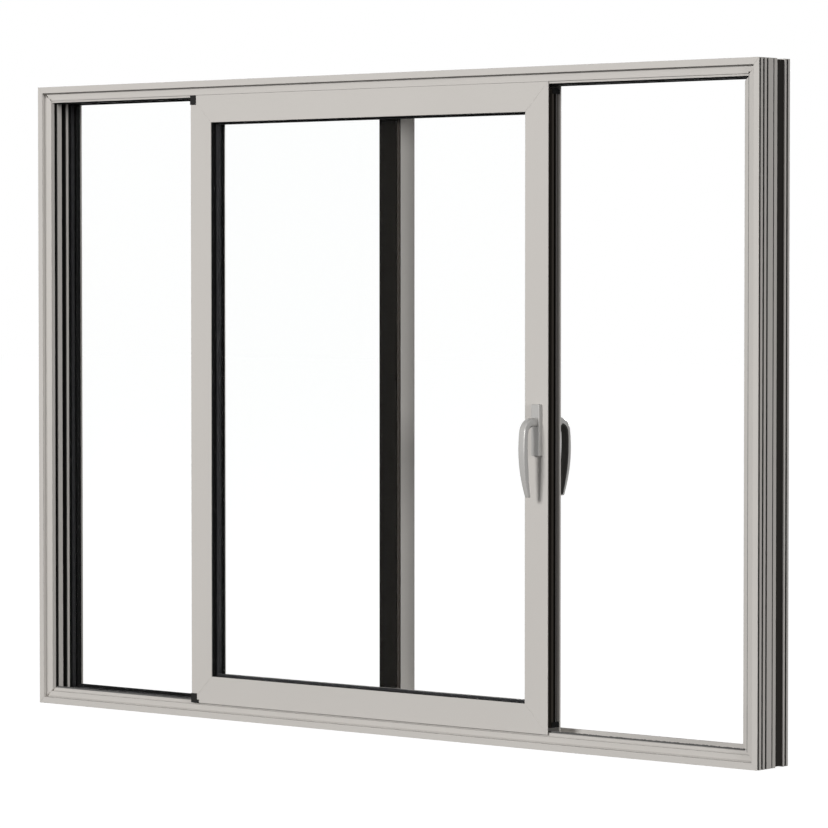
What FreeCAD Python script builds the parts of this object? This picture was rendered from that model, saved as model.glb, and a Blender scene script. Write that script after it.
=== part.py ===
import FreeCAD, Part
import os
import Sketcher

# Two-lite sliding patio door in millimetres: a fixed lite on the left, a sliding panel on the right.
# X runs to the right seen from indoors, Y runs from indoors to outdoors and Z is up.
# The origin is the middle of the sill's underside. Depths count from the indoor face of the flange.

SIZES = {
    # The frame as a whole
    "frame_width": 3000,
    "frame_height": 2100,
    "frame_depth": 158,
    # The indoor aluminium shell of the frame
    "flange_width": 21,
    "lip_setback": 15.5,
    "lip_width": 41.5,
    "left_lip_width": 48.5,
    "right_lip_width": 48,
    "stop_reach": 53,
    "right_stop_reach": 68,
    "stop_thickness": 8,
    "base_wall": 20,
    "rib_gap": 13,
    "rib_width": 20,
    "rib_reach": 45,
    "left_rib_reach": 50,
    "shell_depth": 93,
    "leg_thickness": 10.5,
    "leg_reach": 48,
    "left_leg_reach": 50,
    # Clip grooves in the outer edge of the frame
    "groove_skin": 1.5,
    "groove_width": 7.5,
    "groove_pitch": 19,
    "groove_depth": 6,
    "seam_start": 73,
    "seam_width": 4,
    # The thermal break and the outdoor shell of the frame
    "break_depth": 38,
    "break_setback": 3,
    "pocket_floor": 30,
    "outer_leg_thickness": 9,
    "outer_leg_reach": 54,
    "outer_rib_width": 9,
    "outer_groove_width": 8,
    # Glass units, the same in both lites
    "pane_thickness": 6,
    "cavity": 16,
    "edge_cover": 14,
    "spacer_width": 12,
    "glass_margin": 4,
    "gasket_sight": 50,
    "outer_gasket_sight": 55,
    "gasket_depth": 9.5,
    # The meeting post between the two lites
    "post_left": 40,
    "post_right": 46,
    "post_pocket": 20,
    "cover_thickness": 4,
    # The sliding panel
    "panel_width": 1502,
    "panel_thickness": 65,
    "closed_edge": 53,
    "rest_travel": 746,
    "rail_edge": 46.5,
    "run_gap": 5,
    "leaf_thickness": 2.5,
    "member_width": 91,
    "body_inset": 20,
    "glass_rebate": 81,
    "panel_inner_depth": 28.5,
    "panel_break_depth": 20,
    "panel_break_inset": 24,
    "outer_leaf_thickness": 7.5,
    "outer_leaf_width": 96,
    "panel_glass_setback": 18.5,
    "panel_gasket_sight": 93,
    "panel_outer_gasket_sight": 95,
    "panel_spacer_sight": 98,
    # The black edge profile of the closing stile
    "edge_slot_width": 18,
    "edge_face_inset": 2,
    "edge_face_width": 18,
    "edge_rib_width": 6,
    "edge_groove_floor": 8,
    # The black corner plugs of the interlocking stile
    "plug_width": 24,
    "plug_height": 31,
    "plug_thickness": 3,
    "plug_toe_length": 9,
    "plug_toe_height": 11,
    # Rollers, rail and head guide
    "rail_width": 5,
    "rail_height": 5,
    "wheel_radius": 15,
    "wheel_width": 10,
    "wheel_lift": 0.3,
    "wheel_spacing": 60,
    "pin_radius": 3,
    "bottom_channel": 44.5,
    "carriage_length": 120,
    "carriage_inset": 240,
    "carriage_width": 18,
    "carriage_plate": 3,
    "carriage_top": 8,
    "guide_width": 8,
    "guide_height": 12,
    # Handles
    "handle_inset": 38,
    "handle_height": 1009,
    "plate_width": 31,
    "plate_height": 159,
    "plate_thickness": 16,
    "plate_below_axis": 104,
    "spindle_radius": 6,
    "spindle_clearance": 1,
    "lever_seat": 0.3,
    "lever_width": 24,
    "lever_drop": 230,
    "neck_height": 26.5,
    "neck_reach": 38,
    "shoulder_reach": 80.5,
    "shoulder_drop": 28,
    "elbow_radius": 48,
    "bow_radius": 396,
    "tip_reach": 57,
    "tip_thickness": 11.5,
    "heel_reach": 64.5,
    "heel_drop": 38,
    "heel_radius": 26,
    "inner_bow_radius": 710,
}

doc = FreeCAD.newDocument("patio_door")
sheet = doc.addObject("Spreadsheet::Sheet", "Sizes")
for row, (alias, value) in enumerate(SIZES.items(), start=1):
    sheet.set("A%d" % row, alias)
    sheet.set("B%d" % row, str(value))
    sheet.setAlias("B%d" % row, alias)
doc.recompute()

NODES = {}


def S(alias):
    """The sheet's cell of that name, for use in an expression."""
    return "Sizes." + alias


def total(*terms):
    """Expression for a sum; a term is a cell's name, an expression or a number."""
    return "(" + " + ".join(S(t) if t in SIZES else str(t) for t in terms) + ")"


def minus(first, *rest):
    """Expression for the first term less all the others."""
    return "(%s - %s)" % (total(first), total(*rest))


def half(term):
    return "(%s / 2)" % total(term)


# Depths from the flange's indoor face, as expressions
FRONT = "0"
STOP_FRONT = total("lip_setback", "leaf_thickness", "run_gap")
STOP_BACK = total(STOP_FRONT, "stop_thickness")
RIB_FRONT = total(STOP_BACK, "rib_gap")
RIB_BACK = total(RIB_FRONT, "rib_width")
RIB_MIDDLE = total(RIB_FRONT, half("rib_width"))
PANEL_FRONT = total("lip_setback")
PANEL_LEAF_BACK = total(PANEL_FRONT, "leaf_thickness")
PANEL_BACK = total(PANEL_FRONT, "panel_thickness")
PANEL_OUTER_LEAF = minus(PANEL_BACK, "outer_leaf_thickness")
PANEL_INNER_BACK = total(PANEL_FRONT, "panel_inner_depth")
PANEL_BREAK_BACK = total(PANEL_INNER_BACK, "panel_break_depth")
LEG_FRONT = total(PANEL_BACK, "run_gap")
LEG_BACK = total(LEG_FRONT, "leg_thickness")
BREAK_BACK = total("shell_depth", "break_depth")
OUTER_LEG_FRONT = minus("frame_depth", "outer_leg_thickness")
UNIT_FRONT = total(LEG_BACK, "gasket_depth")
UNIT_THICKNESS = total("pane_thickness", "cavity", "pane_thickness")
UNIT_BACK = total(UNIT_FRONT, UNIT_THICKNESS)
PANEL_UNIT_FRONT = total(PANEL_FRONT, "panel_glass_setback")
PANEL_UNIT_BACK = total(PANEL_UNIT_FRONT, UNIT_THICKNESS)

# Edges of the frame and of the panel at rest, as expressions in X and Z
FRAME_EDGES = {
    "left": "(-%s)" % half("frame_width"),
    "right": half("frame_width"),
    "bottom": "0",
    "top": total("frame_height"),
}
PANEL_RIGHT = minus(FRAME_EDGES["right"], "closed_edge", "rest_travel")
PANEL_EDGES = {
    "left": minus(PANEL_RIGHT, "panel_width"),
    "right": PANEL_RIGHT,
    "bottom": total("rail_edge"),
    "top": minus("frame_height", "rail_edge"),
}

# Each side's own axes: along the member, inwards from its outer edge, and outdoors
AXIS_X = FreeCAD.Vector(1, 0, 0)
AXIS_Y = FreeCAD.Vector(0, 1, 0)
AXIS_Z = FreeCAD.Vector(0, 0, 1)
SIDES = {
    "head": (AXIS_X, -AXIS_Z, "left", "top"),
    "sill": (-AXIS_X, AXIS_Z, "right", "bottom"),
    "left": (AXIS_Z, AXIS_X, "left", "bottom"),
    "right": (-AXIS_Z, -AXIS_X, "right", "top"),
}


def bind(thing, properties):
    """Set each property of the object from its expression."""
    for name, expression in properties.items():
        thing.setExpression(name, expression)
    return thing


def depth(expression):
    """Y of a depth that is counted from the flange's indoor face."""
    return minus(expression, half("frame_depth"))


def place(thing, x, y, z):
    return bind(thing, {"Placement.Base.x": x, "Placement.Base.y": y, "Placement.Base.z": z})


def strip(edges, side, near, far, front, back):
    """A bar with 45 degree mitres: from near to far of its outer edge, from front to back in depth."""
    along, inwards, x_edge, z_edge = SIDES[side]
    if side in ("head", "sill"):
        length = minus(edges["right"], edges["left"])
    else:
        length = minus(edges["top"], edges["bottom"])
    near, far, front, back = (total(term) for term in (near, far, front, back))
    bar = doc.addObject("Part::Wedge", "Strip")
    bar.Placement = FreeCAD.Placement(FreeCAD.Vector(), FreeCAD.Rotation(along, inwards, AXIS_Y))
    bind(bar, {
        "Xmin": near, "Xmax": minus(length, near), "X2min": far, "X2max": minus(length, far),
        "Ymin": near, "Ymax": far, "Zmin": front, "Zmax": back, "Z2min": front, "Z2max": back,
    })
    return place(bar, edges[x_edge], depth(FRONT), edges[z_edge])


def box(x0, x1, front, back, z0, z1):
    """A plain block between two X, two depths and two Z."""
    x0, x1, front, back, z0, z1 = (total(term) for term in (x0, x1, front, back, z0, z1))
    block = doc.addObject("Part::Box", "Block")
    bind(block, {"Length": minus(x1, x0), "Width": minus(back, front), "Height": minus(z1, z0)})
    return place(block, x0, depth(front), z0)


def rod(radius, x, front, back, z):
    """A round bar along Y between two depths."""
    bar = doc.addObject("Part::Cylinder", "Rod")
    bar.Placement = FreeCAD.Placement(FreeCAD.Vector(), FreeCAD.Rotation(AXIS_X, -90))
    bind(bar, {"Radius": total(radius), "Height": minus(back, front)})
    return place(bar, total(x), depth(front), total(z))


def fuse(*shapes):
    joined = doc.addObject("Part::MultiFuse", "Joined")
    joined.Shapes = list(shapes)
    joined.Refine = True
    return joined


def group(*shapes):
    """Several solids that don't touch, kept together."""
    together = doc.addObject("Part::Compound", "Together")
    together.Links = list(shapes)
    return together


def cut(base, tool):
    rest = doc.addObject("Part::Cut", "Rest")
    rest.Base = base
    rest.Tool = tool
    rest.Refine = True
    return rest


def node(label, shape):
    shape.Label = label
    NODES[label] = shape
    return shape


def ring(edges, near, far, front, back):
    """A flat rectangular ring between two insets from the edges."""
    outer = box(total(edges["left"], near), minus(edges["right"], near), front, back,
                total(edges["bottom"], near), minus(edges["top"], near))
    inner = box(total(edges["left"], far), minus(edges["right"], far), front, back,
                total(edges["bottom"], far), minus(edges["top"], far))
    return cut(outer, inner)


# Frame: the indoor shell, with its lip, the stop that the panel overlaps, the track rib and the glazing leg
def inner_shell(side):
    def bar(near, far, front, back):
        return strip(FRAME_EDGES, side, near, far, front, back)

    lip_back = STOP_BACK if side == "left" else STOP_FRONT
    lip = {"left": "left_lip_width", "right": "right_lip_width"}.get(side, "lip_width")
    rib = "left_rib_reach" if side == "left" else "rib_reach"
    leg = "left_leg_reach" if side == "left" else "leg_reach"
    bars = [
        bar("0", "flange_width", FRONT, "groove_skin"),
        bar("groove_depth", "flange_width", "groove_skin", "lip_setback"),
        bar("groove_depth", "base_wall", "lip_setback", "shell_depth"),
        bar("base_wall", lip, "lip_setback", lip_back),
        bar("base_wall", rib, RIB_FRONT, RIB_BACK),
        bar("base_wall", leg, LEG_FRONT, LEG_BACK),
    ]
    if side != "left":
        reach = "right_stop_reach" if side == "right" else "stop_reach"
        bars.append(bar("base_wall", reach, STOP_FRONT, STOP_BACK))
    groove_ends = [total("groove_skin", "groove_width", "%d * %s" % (i, S("groove_pitch"))) for i in range(3)]
    rib_ends = [total("groove_skin", "%d * %s" % (i, S("groove_pitch"))) for i in (1, 2)] + [S("seam_start")]
    for start, end in zip(groove_ends, rib_ends):
        bars.append(bar("0", "groove_depth", start, end))
    bars.append(bar("0", "groove_depth", total("seam_start", "seam_width"), "shell_depth"))
    return fuse(*bars)


# Frame: the black thermal break, which is also the floor of the glass pocket
def thermal_break(side):
    core = strip(FRAME_EDGES, side, "break_setback", "base_wall", "shell_depth", BREAK_BACK)
    floor = strip(FRAME_EDGES, side, "base_wall", "pocket_floor", LEG_BACK, OUTER_LEG_FRONT)
    return fuse(core, floor)


# Frame: the outdoor shell, with a clip groove and the leg that the glass bears on
def outer_shell(side):
    groove = total(BREAK_BACK, "outer_rib_width")
    groove_end = total(groove, "outer_groove_width")
    return fuse(
        strip(FRAME_EDGES, side, "0", "groove_depth", BREAK_BACK, groove),
        strip(FRAME_EDGES, side, "0", "groove_depth", groove_end, "frame_depth"),
        strip(FRAME_EDGES, side, "groove_depth", "base_wall", BREAK_BACK, "frame_depth"),
        strip(FRAME_EDGES, side, "base_wall", "outer_leg_reach", OUTER_LEG_FRONT, "frame_depth"),
    )


FRAME_NAMES = {"head": "head", "sill": "sill", "left": "left_jamb", "right": "right_jamb"}
for side, name in FRAME_NAMES.items():
    node(name + "_inner_shell", inner_shell(side))
    node(name + "_thermal_break", thermal_break(side))
    node(name + "_outer_shell", outer_shell(side))

# The meeting post: an aluminium box notched over the frame's legs, with a black cover indoors
POST_LEFT = "(-%s)" % S("post_left")
POST_POCKET = "(-%s)" % S("post_pocket")
COVER_BACK = total(LEG_FRONT, "cover_thickness")


def upright(x0, x1, front, back, inset):
    """A block of the post that ends at an inset from the frame's bottom and top."""
    return box(x0, x1, front, back, inset, minus("frame_height", inset))


node("meeting_post", fuse(
    upright(POST_POCKET, "post_right", COVER_BACK, LEG_BACK, "leg_reach"),
    upright(POST_POCKET, "post_right", LEG_BACK, OUTER_LEG_FRONT, "pocket_floor"),
    upright(POST_LEFT, "post_right", OUTER_LEG_FRONT, "frame_depth", "outer_leg_reach"),
))
node("meeting_post_cover", fuse(
    upright(POST_LEFT, "post_right", LEG_FRONT, COVER_BACK, "leg_reach"),
    upright(POST_LEFT, POST_POCKET, COVER_BACK, LEG_BACK, "leg_reach"),
))

# The fixed lite: two panes, their spacer and a gasket on each face, in a pocket with the post as its fourth side
FIXED_EDGES = {
    "left": total(FRAME_EDGES["left"], "pocket_floor"),
    "right": POST_POCKET,
    "bottom": total("pocket_floor"),
    "top": minus("frame_height", "pocket_floor"),
}
GASKET_WIDTH = minus("gasket_sight", "pocket_floor")
OUTER_GASKET_WIDTH = minus("outer_gasket_sight", "pocket_floor")
SPACER_END = total("glass_margin", "edge_cover")


def panes(edges, margin, front):
    """The two panes of a glass unit."""
    sheets = []
    for start in (front, total(front, "pane_thickness", "cavity")):
        sheets.append(box(total(edges["left"], margin), minus(edges["right"], margin), start,
                          total(start, "pane_thickness"),
                          total(edges["bottom"], margin), minus(edges["top"], margin)))
    return group(*sheets)


def spacer(edges, inner, front):
    """The spacer between the panes, up to its sight line."""
    cavity_front = total(front, "pane_thickness")
    return ring(edges, minus(inner, "spacer_width"), inner, cavity_front, total(cavity_front, "cavity"))


node("fixed_glass", panes(FIXED_EDGES, "glass_margin", UNIT_FRONT))
node("fixed_spacer", spacer(FIXED_EDGES, SPACER_END, UNIT_FRONT))
node("fixed_inner_gasket", ring(FIXED_EDGES, "0", GASKET_WIDTH, LEG_BACK, UNIT_FRONT))
node("fixed_outer_gasket", ring(FIXED_EDGES, "0", OUTER_GASKET_WIDTH, UNIT_BACK, OUTER_LEG_FRONT))

# The rail on the sill's rib and the guide under the head's rib
INSIDE_LEFT = total(FRAME_EDGES["left"], "left_rib_reach")
INSIDE_RIGHT = minus(FRAME_EDGES["right"], "rib_reach")
RAIL_TOP = total("rib_reach", "rail_height")
node("sill_rail", box(INSIDE_LEFT, INSIDE_RIGHT, minus(RIB_MIDDLE, half("rail_width")),
                      total(RIB_MIDDLE, half("rail_width")), "rib_reach", RAIL_TOP))
node("head_guide", box(INSIDE_LEFT, INSIDE_RIGHT, minus(RIB_MIDDLE, half("guide_width")),
                       total(RIB_MIDDLE, half("guide_width")),
                       minus("frame_height", "rib_reach", "guide_height"), minus("frame_height", "rib_reach")))


# Panel: each member is an indoor shell with a front leaf, a thermal break and an outdoor shell with a back leaf
HANDLE_X = minus(PANEL_RIGHT, "handle_inset")


def spindle_bore(front, back):
    return rod(total("spindle_radius", "spindle_clearance"), HANDLE_X, front, back, "handle_height")


def panel_inner(side):
    return fuse(
        strip(PANEL_EDGES, side, "0", "member_width", PANEL_FRONT, PANEL_LEAF_BACK),
        strip(PANEL_EDGES, side, "body_inset", "glass_rebate", PANEL_LEAF_BACK, PANEL_INNER_BACK),
    )


def panel_break(side):
    inset = "bottom_channel" if side == "sill" else "panel_break_inset"
    return strip(PANEL_EDGES, side, inset, "glass_rebate", PANEL_INNER_BACK, PANEL_BREAK_BACK)


def panel_outer(side):
    return fuse(
        strip(PANEL_EDGES, side, "body_inset", "glass_rebate", PANEL_BREAK_BACK, PANEL_OUTER_LEAF),
        strip(PANEL_EDGES, side, "0", "outer_leaf_width", PANEL_OUTER_LEAF, PANEL_BACK),
    )


PANEL_NAMES = {"head": "top_rail", "sill": "bottom_rail", "left": "meeting_stile", "right": "lock_stile"}
for side, name in PANEL_NAMES.items():
    layers = {
        "_inner": (panel_inner(side), PANEL_FRONT, PANEL_INNER_BACK),
        "_break": (panel_break(side), PANEL_INNER_BACK, PANEL_BREAK_BACK),
        "_outer": (panel_outer(side), PANEL_BREAK_BACK, PANEL_BACK),
    }
    for layer, (shape, front, back) in layers.items():
        if side == "right":
            shape = cut(shape, spindle_bore(front, back))
        node(name + layer, shape)

PANEL_MARGIN = total("glass_rebate", "glass_margin")
node("panel_glass", panes(PANEL_EDGES, PANEL_MARGIN, PANEL_UNIT_FRONT))
node("panel_spacer", spacer(PANEL_EDGES, "panel_spacer_sight", PANEL_UNIT_FRONT))
node("panel_inner_gasket", ring(PANEL_EDGES, "glass_rebate", "panel_gasket_sight",
                                PANEL_LEAF_BACK, PANEL_UNIT_FRONT))
node("panel_outer_gasket", ring(PANEL_EDGES, "glass_rebate", "panel_outer_gasket_sight",
                                PANEL_UNIT_BACK, PANEL_OUTER_LEAF))

# The black edge profile of the lock stile: a slot for the jamb's stop, a flat face, a rib and a groove
SLOT_BACK = total(PANEL_LEAF_BACK, "edge_slot_width")
FACE_BACK = total(SLOT_BACK, "edge_face_width")
EDGE_BOTTOM = total(PANEL_EDGES["bottom"], "body_inset")
EDGE_TOP = minus(PANEL_EDGES["top"], "body_inset")


def edge_block(inset, front, back):
    return box(minus(PANEL_RIGHT, "body_inset"), minus(PANEL_RIGHT, inset), front, back, EDGE_BOTTOM, EDGE_TOP)


node("lock_stile_edge", fuse(
    edge_block("edge_face_inset", SLOT_BACK, FACE_BACK),
    edge_block("0", FACE_BACK, total(FACE_BACK, "edge_rib_width")),
    edge_block("edge_groove_floor", total(FACE_BACK, "edge_rib_width"), PANEL_OUTER_LEAF),
))

# Black plugs at the two corners of the meeting stile, the lower one with a toe along the rail
PLUG_FRONT = minus(PANEL_FRONT, "plug_thickness")
PLUG_RIGHT = total(PANEL_EDGES["left"], "plug_width")
upper_plug = box(PANEL_EDGES["left"], PLUG_RIGHT, PLUG_FRONT, PANEL_FRONT,
                 minus(PANEL_EDGES["top"], "plug_height"), PANEL_EDGES["top"])
lower_plug = fuse(
    box(PANEL_EDGES["left"], PLUG_RIGHT, PLUG_FRONT, PANEL_FRONT,
        PANEL_EDGES["bottom"], total(PANEL_EDGES["bottom"], "plug_height")),
    box(PLUG_RIGHT, total(PLUG_RIGHT, "plug_toe_length"), PLUG_FRONT, PANEL_FRONT,
        PANEL_EDGES["bottom"], total(PANEL_EDGES["bottom"], "plug_toe_height")),
)
node("meeting_stile_plugs", group(upper_plug, lower_plug))

# Two roller carriages in the bottom rail's channel, each with two wheels on pins
CHANNEL_TOP = total(PANEL_EDGES["bottom"], "bottom_channel")
WHEEL_Z = total(RAIL_TOP, "wheel_lift", "wheel_radius")
CARRIAGE_FRONT = minus(RIB_MIDDLE, half("carriage_width"))
CARRIAGE_BACK = total(RIB_MIDDLE, half("carriage_width"))
carriages = []
wheels = []
for centre in (total(PANEL_EDGES["left"], "carriage_inset"), minus(PANEL_EDGES["right"], "carriage_inset")):
    start = minus(centre, half("carriage_length"))
    end = total(centre, half("carriage_length"))
    plate_bottom = minus(WHEEL_Z, "pin_radius", "carriage_plate")
    block = box(start, end, CARRIAGE_FRONT, CARRIAGE_BACK, plate_bottom, CHANNEL_TOP)
    hollow = box(start, end, total(CARRIAGE_FRONT, "carriage_plate"), minus(CARRIAGE_BACK, "carriage_plate"),
                 plate_bottom, minus(CHANNEL_TOP, "carriage_top"))
    carriages.append(cut(block, hollow))
    for spot in (minus(centre, half("wheel_spacing")), total(centre, half("wheel_spacing"))):
        tread = rod("wheel_radius", spot, minus(RIB_MIDDLE, half("wheel_width")),
                    total(RIB_MIDDLE, half("wheel_width")), WHEEL_Z)
        pin = rod("pin_radius", spot, total(CARRIAGE_FRONT, "carriage_plate"),
                  minus(CARRIAGE_BACK, "carriage_plate"), WHEEL_Z)
        wheels.append(fuse(tread, pin))
node("roller_carriages", group(*carriages))
node("roller_wheels", group(*wheels))

# Handle plates on both faces of the lock stile
PLATE_BOTTOM = minus("handle_height", "plate_below_axis")
for name, front, back in (
    ("inner_handle_plate", minus(PANEL_FRONT, "plate_thickness"), PANEL_FRONT),
    ("outer_handle_plate", PANEL_BACK, total(PANEL_BACK, "plate_thickness")),
):
    plate = box(minus(HANDLE_X, half("plate_width")), total(HANDLE_X, half("plate_width")), front, back,
                PLATE_BOTTOM, total(PLATE_BOTTOM, "plate_height"))
    node(name, cut(plate, spindle_bore(front, back)))


# Levers: a neck, an elbow and a bowed strap that hangs down, drawn from the side and given its width
def origin_plane(body, role):
    return next(plane for plane in body.Origin.OriginFeatures if plane.Role == role)


def lever(label, face, outwards):
    """A lever whose reach is counted from the panel's face, with outwards -1 indoors and +1 outdoors."""
    neck_top = half("neck_height")
    neck_bottom = minus("0", neck_top)
    tip = minus("0", "lever_drop")
    seat = total("plate_thickness", "lever_seat")
    corners = [
        (seat, neck_top),
        (total("neck_reach"), neck_top),
        (total("shoulder_reach"), minus("0", "shoulder_drop")),
        (total("tip_reach"), tip),
        (minus("tip_reach", "tip_thickness"), tip),
        (total("heel_reach"), minus("0", "heel_drop")),
        (total("neck_reach"), neck_bottom),
        (seat, neck_bottom),
    ]
    # Radius of the arc that starts at a corner, and 1 or -1 for the side of its chord that it bulges to
    arcs = {1: ("elbow_radius", 1), 2: ("bow_radius", 1), 4: ("inner_bow_radius", -1), 5: ("heel_radius", -1)}
    body = doc.addObject("PartDesign::Body", label)
    outline = body.newObject("Sketcher::SketchObject", label + "_outline")
    outline.AttachmentSupport = [(origin_plane(body, "YZ_Plane"), "")]
    outline.MapMode = "FlatFace"
    corners = [("%d * %s" % (outwards, reach), rise) for reach, rise in corners]
    points = [FreeCAD.Vector(body.evalExpression(u), body.evalExpression(v), 0) for u, v in corners]
    ends = []
    for i, start in enumerate(points):
        end = points[(i + 1) % len(points)]
        if i in arcs:
            radius = SIZES[arcs[i][0]]
            chord = end - start
            sagitta = radius - (radius ** 2 - (chord.Length / 2) ** 2) ** 0.5
            across = FreeCAD.Vector(-chord.y, chord.x, 0).normalize() * (sagitta * outwards * arcs[i][1])
            outline.addGeometry(Part.Arc(start, (start + end) * 0.5 + across, end))
        else:
            outline.addGeometry(Part.LineSegment(start, end))
        starts_first = outline.getPoint(i, 1).distanceToPoint(start) < outline.getPoint(i, 2).distanceToPoint(start)
        ends.append((1, 2) if starts_first else (2, 1))
    for i, (u, v) in enumerate(corners):
        following = (i + 1) % len(corners)
        outline.addConstraint(Sketcher.Constraint("Coincident", i, ends[i][1], following, ends[following][0]))
        for kind, expression, value in (("DistanceX", u, points[i].x), ("DistanceY", v, points[i].y)):
            spot = outline.addConstraint(Sketcher.Constraint(kind, -1, 1, i, ends[i][0], value))
            outline.setExpression("Constraints[%d]" % spot, expression)
        if i in arcs:
            spot = outline.addConstraint(Sketcher.Constraint("Radius", i, SIZES[arcs[i][0]]))
            outline.setExpression("Constraints[%d]" % spot, S(arcs[i][0]))
    strap = body.newObject("PartDesign::Pad", label + "_strap")
    strap.Profile = outline
    strap.SideType = "Symmetric"
    strap.setExpression("Length", S("lever_width"))
    return node(label, place(body, HANDLE_X, depth(face), total("handle_height")))


lever("inner_lever", PANEL_FRONT, -1)
lever("outer_lever", PANEL_BACK, 1)
node("lever_spindle", rod("spindle_radius", HANDLE_X, minus(PANEL_FRONT, "plate_thickness", "lever_seat"),
                          total(PANEL_BACK, "plate_thickness", "lever_seat"), "handle_height"))

# Build, check and write each piece
doc.recompute()
for thing in doc.Objects:
    if "Invalid" in thing.State or "Error" in thing.State:
        raise RuntimeError("not built: " + thing.Label)
for label, shape in NODES.items():
    if shape.Shape.isNull() or not shape.Shape.isValid():
        raise RuntimeError("bad shape: " + label)
os.makedirs("parts", exist_ok=True)
for label, shape in NODES.items():
    shape.Shape.exportStep(os.path.join("parts", label + ".step"))
    print("%-26s %d solids %10.1f cm3" % (label, len(shape.Shape.Solids), shape.Shape.Volume / 1000))
print(len(NODES), "nodes")
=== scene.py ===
# %% [markdown]
# # A glass sliding patio door
# The door is two lites wide. The left one is fixed in the frame, the right one slides on a rail.
# The CAD model already has every solid in its place, so this lesson only dresses it: rounded edges,
# mitre joints, soft gaskets, cast handles, finishes, light and a camera.

import math

import bpy
import numpy as np
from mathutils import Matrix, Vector


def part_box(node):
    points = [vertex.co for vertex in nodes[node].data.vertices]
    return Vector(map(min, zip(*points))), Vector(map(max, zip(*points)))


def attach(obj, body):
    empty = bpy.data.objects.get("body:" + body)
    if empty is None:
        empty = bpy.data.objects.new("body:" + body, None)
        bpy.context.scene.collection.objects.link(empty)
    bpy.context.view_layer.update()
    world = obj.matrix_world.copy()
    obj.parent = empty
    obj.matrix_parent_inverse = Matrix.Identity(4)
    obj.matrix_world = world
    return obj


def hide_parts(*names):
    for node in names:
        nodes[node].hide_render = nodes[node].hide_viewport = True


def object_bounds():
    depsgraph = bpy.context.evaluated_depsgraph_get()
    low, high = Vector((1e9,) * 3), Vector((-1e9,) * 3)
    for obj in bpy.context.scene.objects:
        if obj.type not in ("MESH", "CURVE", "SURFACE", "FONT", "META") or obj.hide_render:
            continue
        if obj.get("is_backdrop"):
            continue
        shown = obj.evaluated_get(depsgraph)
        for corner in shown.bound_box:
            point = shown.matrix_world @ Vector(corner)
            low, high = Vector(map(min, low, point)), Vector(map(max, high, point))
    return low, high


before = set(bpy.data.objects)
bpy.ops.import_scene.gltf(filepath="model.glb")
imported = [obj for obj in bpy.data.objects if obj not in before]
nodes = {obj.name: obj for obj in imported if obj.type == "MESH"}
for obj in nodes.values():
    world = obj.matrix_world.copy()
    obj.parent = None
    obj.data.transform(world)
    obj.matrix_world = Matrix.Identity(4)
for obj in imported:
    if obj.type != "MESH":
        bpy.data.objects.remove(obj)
cad_low, cad_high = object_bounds()
print(len(nodes), "CAD nodes, size", [round(float(v), 3) for v in cad_high - cad_low])

# %% [markdown]
# ## The camera
# A long lens keeps the uprights of the door nearly parallel and squeezes its depth. The camera stands
# indoors, to the right and somewhat higher than the handle, and looks a little down. Its place is kept
# in metres and its turn in degrees, so both can be read off and changed one at a time.

# %% Camera
CAMERA_PLACE = (8.432, -9.863, 1.453)
CAMERA_TURN = 40.158
CAMERA_DIP = 1.920
CAMERA_LENS, SENSOR_WIDTH = 176.85, 36.0

lens = bpy.data.cameras.new("indoor_camera")
lens.lens = CAMERA_LENS
lens.sensor_width = SENSOR_WIDTH
camera = bpy.data.objects.new("indoor_camera", lens)
camera.location = CAMERA_PLACE
camera.rotation_euler = (math.radians(90 - CAMERA_DIP), 0, math.radians(CAMERA_TURN))
bpy.context.scene.collection.objects.link(camera)
bpy.context.scene.camera = camera
print("camera", CAMERA_LENS, "mm at", CAMERA_PLACE)

# %% [markdown]
# ## Two shared surface effects
# Powder coat, moulded plastic and rubber all show a fine grain, and drawn or brushed metal shows fine
# lines that run one way. Each effect could be painted as an image, but a node group works at any
# distance and is built once. The group puts out a mask for colour and roughness and a height for bump.

# %% Surface grain and drawn lines
def effect_group(name, inputs):
    """An empty node group with the named number inputs, and the outputs Tone and Height."""
    group = bpy.data.node_groups.new(name, "ShaderNodeTree")
    for label, kind in inputs:
        group.interface.new_socket(label, in_out="INPUT", socket_type=kind)
    for label in ("Tone", "Height"):
        group.interface.new_socket(label, in_out="OUTPUT", socket_type="NodeSocketFloat")
    start = group.nodes.new("NodeGroupInput")
    end = group.nodes.new("NodeGroupOutput")
    return group, start, end


def noise_on(group, vector, scale, detail):
    """A noise texture in the group, fed by a vector socket, with its scale a socket or a number."""
    noise = group.nodes.new("ShaderNodeTexNoise")
    group.links.new(vector, noise.inputs["Vector"])
    noise.inputs["Detail"].default_value = detail
    if isinstance(scale, bpy.types.NodeSocket):
        group.links.new(scale, noise.inputs["Scale"])
    else:
        noise.inputs["Scale"].default_value = scale
    return noise.outputs["Fac"]


def average(group, first, second):
    """Half the sum of two values."""
    mix = group.nodes.new("ShaderNodeMix")
    mix.inputs["Factor"].default_value = 0.5
    group.links.new(first, mix.inputs["A"])
    group.links.new(second, mix.inputs["B"])
    return mix.outputs["Result"]


CLOUD_SCALE = 2.3
SPECK_DETAIL, CLOUD_DETAIL, LINE_DETAIL = 3.0, 2.0, 4.0

grain, start, end = effect_group("surface_grain", [("Scale", "NodeSocketFloat")])
place = grain.nodes.new("ShaderNodeTexCoord").outputs["Object"]
speck = noise_on(grain, place, start.outputs["Scale"], SPECK_DETAIL)
cloud = noise_on(grain, place, CLOUD_SCALE, CLOUD_DETAIL)
grain.links.new(average(grain, speck, cloud), end.inputs["Tone"])
grain.links.new(speck, end.inputs["Height"])

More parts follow.
